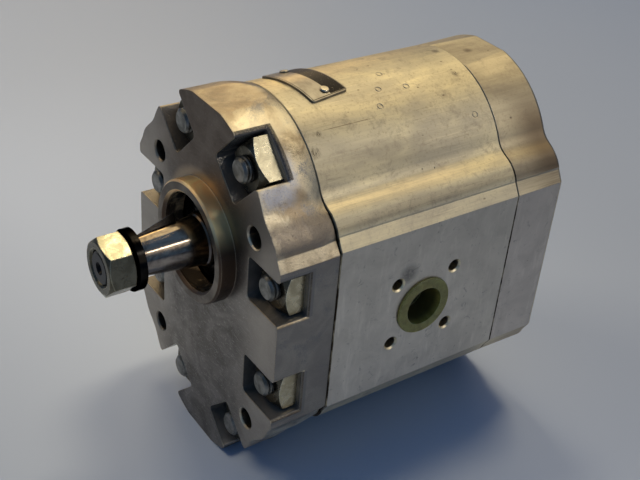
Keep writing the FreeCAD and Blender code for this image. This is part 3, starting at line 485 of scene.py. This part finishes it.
def linished_lobe(look, top, low, shift, cloud, streaks, wide_streaks, dings):
    """Tone of the rounded lobes: cloudy, streaked along Y, dusty, dinged and scratched."""
    tone = look.mix(look.step(cloud, 0.32, 0.70), low, top)
    tone = look.mix(look.step(wide_streaks, 0.40, 0.75, 0.0, 0.26), tone, toned(low, 0.72))
    tone = look.mix(look.step(streaks, 0.50, 0.78, 0.0, 0.30), tone, toned(top, 1.2))
    dust = look.noise(7.0, 7, 0.78, warp=0.4, shift=shift + 9)
    tone = look.mix(look.step(dust, 0.50, 0.70, 0.0, 0.55), tone, (0.26, 0.22, 0.18))
    tone = look.mix(look.step(look.fray, 0.52, 0.70, 0.0, 0.50), tone, (0.34, 0.28, 0.20))
    tone = look.mix(look.times(dings, 0.75), tone, (0.16, 0.12, 0.08))
    scratch = look.lines(3.4, (0.35, 12, 1), shift + 11, 0.006)
    return look.mix(look.times(scratch, 0.3), tone, (0.24, 0.19, 0.14))


def lobe_wear(look, tone, shift, lobe_marks, hash_marks, long_scratches):
    """Tone with hatched scratches, long scratches along Y and dirt marks at their places."""
    if hash_marks:
        strokes = look.lines(0.6, (6, 0.5, 6), shift + 15, 0.09)
        tone = soiled(look, tone, hash_marks, strokes, (0.09, 0.07, 0.05))
    for across, start, stop in long_scratches:
        scored = look.times(look.inside(look.x, across - 0.1, across + 0.1, 0.12),
                            look.inside(look.y, start, stop, 2.0))
        scored = look.times(scored, look.step(look.fray, 0.3, 0.5, 0.2, 0.9))
        tone = look.mix(scored, tone, (0.20, 0.15, 0.10))
    uneven = look.step(look.fray, 0.15, 0.55, 0.3, 0.8)
    return soiled(look, tone, lobe_marks, uneven, (0.13, 0.10, 0.075))


def lobe_bands(look, tone, low, cloud, streaks):
    """Tone with the broad zones: painted shade on the rear flank, darker crown and flank, painted
    highlights on the neck and bevel, painted shade in the hollow.
    """
    # Painted shade: the rear cover's flank below the crown turns dark brown.
    rear_flank_shade = look.times(look.step(look.y, REAR_JOINT, REAR_JOINT + 20.0),
                            look.step(look.z, 54.0, 36.0))
    tone = look.mix(look.times(rear_flank_shade, 0.92), tone, (0.17, 0.13, 0.09))
    crown = look.times(look.inside(look.y, 92.0, REAR_JOINT, 12.0), look.step(look.z, 49.0, 54.0))
    tone = look.mix(look.times(crown, 0.25), tone, toned(low, 0.6))
    flank = look.times(look.inside(look.z, *FLANK_Z, 3.0), look.step(look.y, 85.0, 60.0))
    flank = look.times(flank, look.step(cloud, 0.3, 0.7, 0.5, 0.25))
    tone = look.mix(flank, tone, toned(low, 0.45))
    # Painted highlight: the neck band turns bright gold.
    neck = look.times(look.inside(look.z, *NECK_Z, 1.2), look.step(look.y, 100.0, 80.0))
    neck = look.times(neck, look.step(streaks, 0.3, 0.6, 0.15, 0.5))
    tone = look.mix(neck, tone, (0.98, 0.84, 0.56))
    # Painted highlight: the bevel below the hollow turns pale gold.
    bevel = look.times(look.step(look.z, BEVEL_TOP + 0.4, BEVEL_TOP - 0.4),
                       look.step(streaks, 0.2, 0.6, 0.08, 0.3))
    tone = look.mix(bevel, tone, (0.95, 0.84, 0.60))
    # Painted shade: the concave hollow between neck and bevel is darkened.
    hollow = look.inside(look.z, *HOLLOW_Z, 0.9)
    return look.mix(look.times(hollow, 0.8), tone, (0.48, 0.49, 0.54), "MULTIPLY")


def drawn_metal(name, top, low, side_tone, shift, side_marks, lobe_marks, hash_marks=(),
                long_scratches=()):
    """Aluminium with linished lobes, fine lines along Y, flat milled sides and placed dirt marks, with
    painted highlight and shade bands on the lobes and painted shade in corners.
    """
    look = Look(name, metallic=1.0)
    side = look.step(look.absolute(look.nx), 0.985, 0.998)
    end = look.step(look.absolute(look.ny), 0.9, 0.97)
    cloud = look.noise(22.0, 4, 0.6, stretch=(1, 2.2, 1), warp=0.4, shift=shift)
    streaks = look.noise(0.55, 4, 0.7, stretch=(1, 42, 1), shift=shift + 2)
    wide_streaks = look.noise(2.6, 3, 0.6, stretch=(1, 24, 1), shift=shift + 5)
    haze = look.noise(17.0, 5, 0.62, warp=0.7, shift=shift + 4)
    stains = look.step(look.noise(4.2, 6, 0.75, warp=1.0, shift=shift + 7), 0.57, 0.70, 0.0, 0.6)
    dings = look.step(look.cells(6.5, stretch=(1, 1.6, 1), shift=shift + 3), 0.075, 0.035)

    lobe = linished_lobe(look, top, low, shift, cloud, streaks, wide_streaks, dings)
    lobe = lobe_wear(look, lobe, shift, lobe_marks, hash_marks, long_scratches)
    lobe = lobe_bands(look, lobe, low, cloud, streaks)
    tone = look.mix(side, lobe, milled_side(look, side_tone, shift, haze, stains, side_marks))
    ground = look.mix(look.step(haze, 0.30, 0.70), (0.33, 0.31, 0.28), (0.50, 0.48, 0.43))
    ground = look.mix(look.lines(0.8, (9, 1, 0.6), shift + 13), ground, (0.62, 0.59, 0.53))
    ground = look.mix(stains, ground, (0.17, 0.16, 0.14))
    tone = look.mix(end, tone, ground)
    # Painted shade: occluded corners and holes turn near black.
    tone = look.mix(look.step(look.occlusion(5.0), 0.25, 0.6, 0.9, 0.0), tone, (0.05, 0.045, 0.04))
    worn = look.times(look.edge(0.3, 0.01, 0.1), look.step(look.fray, 0.3, 0.65, 0.1, 0.7))
    tone = look.mix(worn, tone, (0.78, 0.70, 0.56))
    for station, top_fade in ((FRONT_JOINT, 0.25), (REAR_JOINT, 0.15)):
        tone = look.mix(look.seam(station, top_fade), tone, (0.045, 0.034, 0.022))

    gloss = look.step(cloud, 0.3, 0.75, 0.46, 0.38)
    gloss = look.lerp(side, gloss, look.step(haze, 0.3, 0.7, 0.34, 0.42))
    brushed = look.times(look.plus(streaks, wide_streaks), look.flip(side))
    relief = look.plus(look.times(brushed, 0.075), cloud)
    relief = look.minus(relief, look.times(dings, 0.6))
    return look.finish(tone, gloss, look.bump(relief, 0.16, look.round_edges(0.3)))


# ---- steel pieces ------------------------------------------------------------------------

def worn_steel(name, pale, dark, roughness, lines=(1, 1, 1), size=0.4, depth=0.01, oil=0.0, edge=0.3,
               shade=0.0, shade_below=-2.0, glint=(1.0, 1.0, 1.0)):
    """Steel with blotchy plating and tool lines.

    shade sets painted shade on faces turned to -Y, and on faces whose normal rises less than
    shade_below; occluded corners get painted shade too."""
    look = Look(name, metallic=1.0)
    wide = look.noise(4.5, 5, 0.65, warp=0.5, shift=4.0)
    fine = look.noise(size, 4, 0.65, stretch=lines, shift=7.0)
    tone = look.mix(look.step(wide, 0.34, 0.66), dark, pale)
    tone = look.mix(look.step(fine, 0.55, 0.8, 0.0, 0.4), tone, toned(pale, 1.35))
    speck = look.step(look.noise(0.9, 5, 0.7, shift=10.0), 0.62, 0.72, 0.0, 0.7)
    tone = look.mix(speck, tone, toned(dark, 0.35))
    # Painted shade on faces turned to -Y and on faces below shade_below.
    painted_shade = look.either(look.step(look.ny, -0.3, -0.7),
                         look.step(look.nz, shade_below, shade_below + 0.25, 0.85, 0.0))
    tone = look.mix(look.times(painted_shade, shade), tone, (0.03, 0.028, 0.024))
    # Painted shade in occluded corners.
    tone = look.mix(look.step(look.occlusion(4.0), 0.3, 0.75, 0.85, 0.0), tone, (0.03, 0.027, 0.022))
    rubbed = look.times(look.edge(edge, 0.01, 0.1), look.step(wide, 0.3, 0.6, 0.3, 0.85))
    tone = look.mix(rubbed, tone, toned(pale, 1.5))
    gloss = look.step(wide, 0.3, 0.7, roughness * 1.25, roughness * 0.8)
    normal = look.bump(fine, depth, look.round_edges(edge))
    normal = look.bump(wide, 0.006, normal)
    return look.finish(tone, gloss, normal, Coat_Weight=oil, Coat_Roughness=0.12, Specular_Tint=glint)


def shaft_steel(name, pale, dark, roughness, axis_z):
    """Ground shaft: fine rings round the axis, brown oil film, a thread and a dark end, with painted
    shade in corners, where it enters the bore, and on faces turned down.
    """
    look = Look(name, metallic=1.0)
    up = look.minus(look.z, axis_z)
    radius = look.radius(up)
    rings = look.noise(0.28, 3, 0.6, stretch=(30, 1, 30), shift=2.0)
    film = look.noise(6.0, 5, 0.62, stretch=(1, 1.8, 1), warp=0.8, shift=5.0)
    tone = look.mix(look.step(film, 0.35, 0.68), dark, pale)
    tone = look.mix(look.step(rings, 0.52, 0.75, 0.0, 0.5), tone, toned(pale, 1.5))
    speck = look.step(look.noise(0.8, 5, 0.7, shift=8.0), 0.63, 0.72, 0.0, 0.8)
    tone = look.mix(speck, tone, (0.06, 0.04, 0.025))
    # Painted shade in occluded corners.
    tone = look.mix(look.step(look.occlusion(6.0), 0.25, 0.7, 0.7, 0.0), tone, (0.02, 0.017, 0.014))
    # Painted shade with oil: the shaft darkens where it runs into the cover's bore.
    bore_shade = look.step(look.y, -7.0, -2.5, 0.0, 0.85)
    tone = look.mix(bore_shade, tone, (0.09, 0.065, 0.045))
    # Painted shade: faces turned downward go darker grey.
    underside_shade = look.step(look.nz, 0.45, 0.05, 0.0, 0.45)
    tone = look.mix(underside_shade, tone, (0.19, 0.18, 0.18))
    shaft_end = look.step(look.y, DARK_END_Y + 0.3, DARK_END_Y - 0.3)
    tone = look.mix(shaft_end, tone, (0.006, 0.0055, 0.005))
    screw = look.times(look.step(look.y, THREAD_START, THREAD_START - 0.6),
                       look.step(radius, THREAD_ROOT_R, THREAD_ROOT_R + 0.6))
    thread = look.wave(look.plus(look.y, look.helix(up, THREAD_PITCH)), THREAD_PITCH)
    normal = look.bump(rings, 0.004, look.round_edges(0.25))
    normal = look.bump(look.times(thread, screw), 0.45, normal)
    gloss = look.step(film, 0.3, 0.7, roughness * 1.5, roughness)
    return look.finish(tone, gloss, normal, Metallic=look.flip(shaft_end),
                       Specular_IOR_Level=look.lerp(shaft_end, 0.5, 0.15))


def nameplate_metal():
    """Plain satin plate with a black band along its rear edge and a thin black border."""
    look = Look("plate_aluminium", metallic=1.0)
    turn = math.radians(PLATE_TURN)
    dx = look.minus(look.x, PLATE_X)
    dy = look.minus(look.y, PLATE_Y)
    along = look.plus(look.times(dx, math.cos(turn)), look.times(dy, math.sin(turn)))
    across = look.minus(look.times(dy, math.cos(turn)), look.times(dx, math.sin(turn)))
    chips = look.step(look.noise(0.9, 5, 0.7, shift=3.0), 0.62, 0.68)
    band = look.times(look.step(across, BAND_LOW - 0.1, BAND_LOW + 0.1),
                      look.step(look.absolute(along), BAND_HALF_LENGTH + 0.1, BAND_HALF_LENGTH - 0.1))
    band = look.times(band, look.step(across, BAND_HIGH + 0.1, BAND_HIGH - 0.1))
    margin = look.math("MINIMUM", look.minus(PLATE_LENGTH / 2, look.absolute(along)),
                       look.minus(PLATE_WIDTH / 2, look.absolute(across)))
    border = look.inside(margin, 0.45, 0.75, 0.1)
    ink = look.times(look.either(band, border), look.flip(chips))
    fine = look.noise(0.25, 3, 0.6, stretch=(26, 1, 26), shift=1.0)
    haze = look.noise(5.0, 4, 0.6, shift=6.0)
    tone = look.mix(look.step(haze, 0.3, 0.7), (0.27, 0.24, 0.195), (0.40, 0.365, 0.30))
    tone = look.mix(look.step(fine, 0.55, 0.75, 0.0, 0.4), tone, (0.55, 0.52, 0.46))
    tone = look.mix(ink, tone, (0.012, 0.010, 0.009))
    # Painted shade in occluded corners.
    tone = look.mix(look.step(look.occlusion(1.5), 0.3, 0.8, 0.8, 0.0), tone, (0.05, 0.04, 0.03))
    normal = look.bump(fine, 0.006, look.round_edges(0.2))
    normal = look.bump(look.times(ink, 0.5), 0.05, normal)
    return look.finish(tone, look.lerp(ink, 0.30, 0.38), normal)


# ---- rubber and plastic ------------------------------------------------------------------

def rubber():
    """Black rubber under an uneven film of oil."""
    look = Look("oily_rubber")
    film = look.noise(2.0, 4, 0.6, warp=0.6, shift=2.0)
    tone = look.mix(look.step(film, 0.3, 0.7), (0.008, 0.007, 0.006), (0.028, 0.024, 0.02))
    normal = look.bump(look.noise(0.5, 4, 0.6), 0.02, look.round_edges(0.3))
    return look.finish(tone, look.step(film, 0.3, 0.7, 0.30, 0.55), normal, Coat_Weight=0.4,
                       Coat_Roughness=0.15)


def plug_plastic():
    """Soft olive yellow plastic with grime specks, scuffed on the rim, with painted shade down in the
    cup.
    """
    look = Look("plug_plastic")
    wide = look.noise(3.0, 5, 0.6, warp=0.5, shift=2.0)
    tone = look.mix(look.step(wide, 0.3, 0.7), (0.24, 0.19, 0.035), (0.37, 0.31, 0.075))
    # Painted shade: the plug darkens down its cup.
    depth = look.step(look.absolute(look.x), PLUG_RIM_X, PLUG_CUP_X)
    tone = look.mix(look.times(depth, 0.85), tone, (0.055, 0.045, 0.012))
    grime = look.step(look.noise(0.8, 5, 0.7, shift=5.0), 0.56, 0.7, 0.0, 0.6)
    tone = look.mix(grime, tone, (0.10, 0.085, 0.03))
    scuffs = look.times(look.edge(0.35, 0.01, 0.12), look.step(wide, 0.3, 0.6))
    tone = look.mix(scuffs, tone, (0.62, 0.56, 0.24))
    normal = look.bump(wide, 0.06, look.round_edges(0.35))
    normal = look.bump(look.noise(0.4, 4, 0.6, shift=3.0), 0.012, normal)
    return look.finish(tone, look.step(wide, 0.3, 0.7, 0.34, 0.5), normal, Subsurface_Weight=0.08)


# ---- materials on the nodes --------------------------------------------------------------

ALONG_Y, ROUND_Y = (1, 12, 1), (20, 1, 20)

dress(cast_cover(), "front_cover")
dress(drawn_metal("body_aluminium", (0.77, 0.685, 0.45), (0.50, 0.45, 0.34), (0.64, 0.60, 0.525), 1.0,
                  BODY_SIDE_MARKS, BODY_LOBE_MARKS, BODY_HASH_MARKS, BODY_SCRATCHES), "pump_body")
dress(drawn_metal("cover_aluminium", (0.56, 0.495, 0.35), (0.34, 0.295, 0.22), (0.64, 0.59, 0.53), 20.0,
                  (), REAR_LOBE_MARKS), "rear_cover")
dress(worn_steel("zinc_steel", (0.27, 0.262, 0.235), (0.13, 0.127, 0.108), 0.36, size=0.6),
      "cover_bolts")
dress(worn_steel("nut_steel", (0.88, 0.79, 0.54), (0.62, 0.54, 0.35), 0.30, ALONG_Y, 0.35, 0.03,
                 shade=0.88, shade_below=-0.12), "square_nuts")
dress(worn_steel("worn_zinc", (0.62, 0.56, 0.38), (0.40, 0.36, 0.235), 0.26, (1, 1, 5), 0.4, 0.012,
                 edge=0.5, shade=0.80, shade_below=0.65), "shaft_nut")
dress(worn_steel("black_spring_steel", (0.012, 0.011, 0.010), (0.005, 0.0045, 0.004), 0.20,
                 glint=(0.3, 0.3, 0.3)),
      "spring_lock_washer", "seal_circlip")
dress(worn_steel("seal_case", (0.07, 0.066, 0.06), (0.03, 0.027, 0.024), 0.28),
      "shaft_seal_case")
dress(shaft_steel("shaft_steel", (0.46, 0.385, 0.30), (0.12, 0.09, 0.066), 0.12, SHAFT_Z),
      "drive_gear_shaft")
dress(shaft_steel("driven_shaft_steel", (0.40, 0.39, 0.38), (0.24, 0.23, 0.22), 0.18, DRIVEN_Z),
      "driven_gear_shaft")
dress(worn_steel("key_steel", (0.025, 0.022, 0.02), (0.012, 0.011, 0.010), 0.24, (1, 8, 1)),
      "woodruff_key")
dress(worn_steel("dowel_steel", (0.58, 0.58, 0.57), (0.42, 0.41, 0.40), 0.22, ROUND_Y, 0.3, 0.004),
      "front_dowels", "rear_dowels")
dress(worn_steel("garter_spring", (0.50, 0.49, 0.46), (0.30, 0.28, 0.24), 0.28), "seal_garter_spring")
dress(worn_steel("block_aluminium", (0.62, 0.61, 0.58), (0.46, 0.45, 0.42), 0.34, ROUND_Y, 0.3, 0.006,
                 oil=0.3), "front_bearing_block", "rear_bearing_block")
dress(worn_steel("bush_bronze", (0.60, 0.44, 0.24), (0.40, 0.27, 0.13), 0.30, ROUND_Y, 0.3, 0.006,
                 oil=0.3),
      "front_drive_bush", "front_driven_bush", "rear_drive_bush", "rear_driven_bush")
dress(nameplate_metal(), "nameplate")
dress(worn_steel("rivet_aluminium", (0.70, 0.64, 0.50), (0.44, 0.38, 0.28), 0.28, edge=0.25),
      "nameplate_rivets")
dress(rubber(), "shaft_seal_lip", "front_pressure_seal", "rear_pressure_seal", "front_body_seal",
      "rear_body_seal")
dress(plug_plastic(), "inlet_port_plug", "outlet_port_plug")


# ---- floor and light ---------------------------------------------------------------------

FLOOR_HALF = 6.0
LIGHT_CENTRE = Vector((0, 0.05, -0.02))
ROOM_COLOUR, ROOM_STRENGTH = (0.37, 0.64, 1.12, 1.0), 0.2
WARM = (1.0, 0.79, 0.50)
KEY_LEFT = (-0.43, 0.10, 0.90)
KEY_REAR = (-0.14, 0.30, 0.95)
MATT, GLOSSY = "matt", "glossy"
# name, direction from the pump, distance and size in metres, watts, colour, surfaces it lights
LIGHTS = (
    ("key_left", KEY_LEFT, 1.4, (0.27, 0.27), 4.2, WARM, MATT),
    ("key_rear", KEY_REAR, 1.4, (0.27, 0.27), 7.0, WARM, MATT),
    ("left_fill", (-0.50, -0.45, 0.74), 0.9, (0.34, 0.34), 2.8, WARM, MATT),
    ("ceiling_glow", (-0.40, 0.55, 0.72), 1.5, (2.4, 1.1), 10.0, (1.0, 0.78, 0.40), GLOSSY),
    ("side_glow", (0.68, 0.50, 0.55), 1.5, (1.2, 1.0), 3.4, (1.0, 0.84, 0.60), GLOSSY),
    ("nut_spark", (-0.36, 0.33, 0.87), 1.6, (0.28, 0.28), 1.1, (1.0, 0.92, 0.66), GLOSSY),
    ("gold_strip", (-0.89, 0.30, 0.34), 1.5, (0.80, 0.30), 2.6, (1.0, 0.68, 0.28), GLOSSY),
    ("white_strip", (0.66, 0.20, 0.73), 1.5, (0.50, 0.07), 2.0, (1.0, 0.96, 0.90), GLOSSY),
    ("rear_spark", KEY_REAR, 1.6, (0.20, 0.20), 1.4, WARM, GLOSSY),
    ("front_glow", (-0.62, -0.45, 0.60), 1.5, (1.0, 0.8), 2.6, (1.0, 0.76, 0.42), GLOSSY),
)


def make_floor():
    """Pale table under the pump, with painted shade making it a little darker far behind, close in
    front and far left.
    """
    low = cad_box[0][2]
    half = FLOOR_HALF
    mesh = bpy.data.meshes.new("table_top")
    mesh.from_pydata([(-half, -half, low), (half, -half, low), (half, half, low), (-half, half, low)],
                     [], [(0, 1, 2, 3)])
    floor = bpy.data.objects.new("table_top", mesh)
    scene.collection.objects.link(floor)
    look = Look("pale_table")
    tone = look.mix(look.noise(400.0, 2), (0.445, 0.545, 0.725), (0.475, 0.575, 0.755))
    # Painted shade: the table darkens far behind, close in front where it deepens a shadow, and far
    # left.
    tone = look.mix(look.step(look.y, 0.0, 330.0, 0.0, 0.8), tone, (0.315, 0.38, 0.50))
    tone = look.mix(look.step(look.y, 15.0, -100.0, 0.0, 0.75), tone, (0.35, 0.43, 0.575))
    tone = look.mix(look.step(look.x, -200.0, -420.0, 0.0, 0.6), tone, (0.35, 0.43, 0.575))
    mesh.materials.append(look.finish(tone, 0.55))


def area_light(name, toward, distance, size, power, colour, reaches):
    """Area light aimed at the pump, lighting only matt or only glossy surfaces."""
    data = bpy.data.lights.new(name, "AREA")
    data.shape = "RECTANGLE"
    data.size, data.size_y = size
    data.energy = power
    data.color = colour
    light = bpy.data.objects.new(name, data)
    direction = Vector(toward).normalized()
    light.location = LIGHT_CENTRE + direction * distance
    light.rotation_euler = direction.to_track_quat("Z", "Y").to_euler()
    light.visible_diffuse = reaches == MATT
    light.visible_glossy = reaches == GLOSSY
    scene.collection.objects.link(light)


def make_world():
    world = bpy.data.worlds.new("room")
    world.use_nodes = True
    background = world.node_tree.nodes["Background"]
    background.inputs["Color"].default_value = ROOM_COLOUR
    background.inputs["Strength"].default_value = ROOM_STRENGTH
    scene.world = world


make_floor()
make_world()
for settings in LIGHTS:
    area_light(*settings)
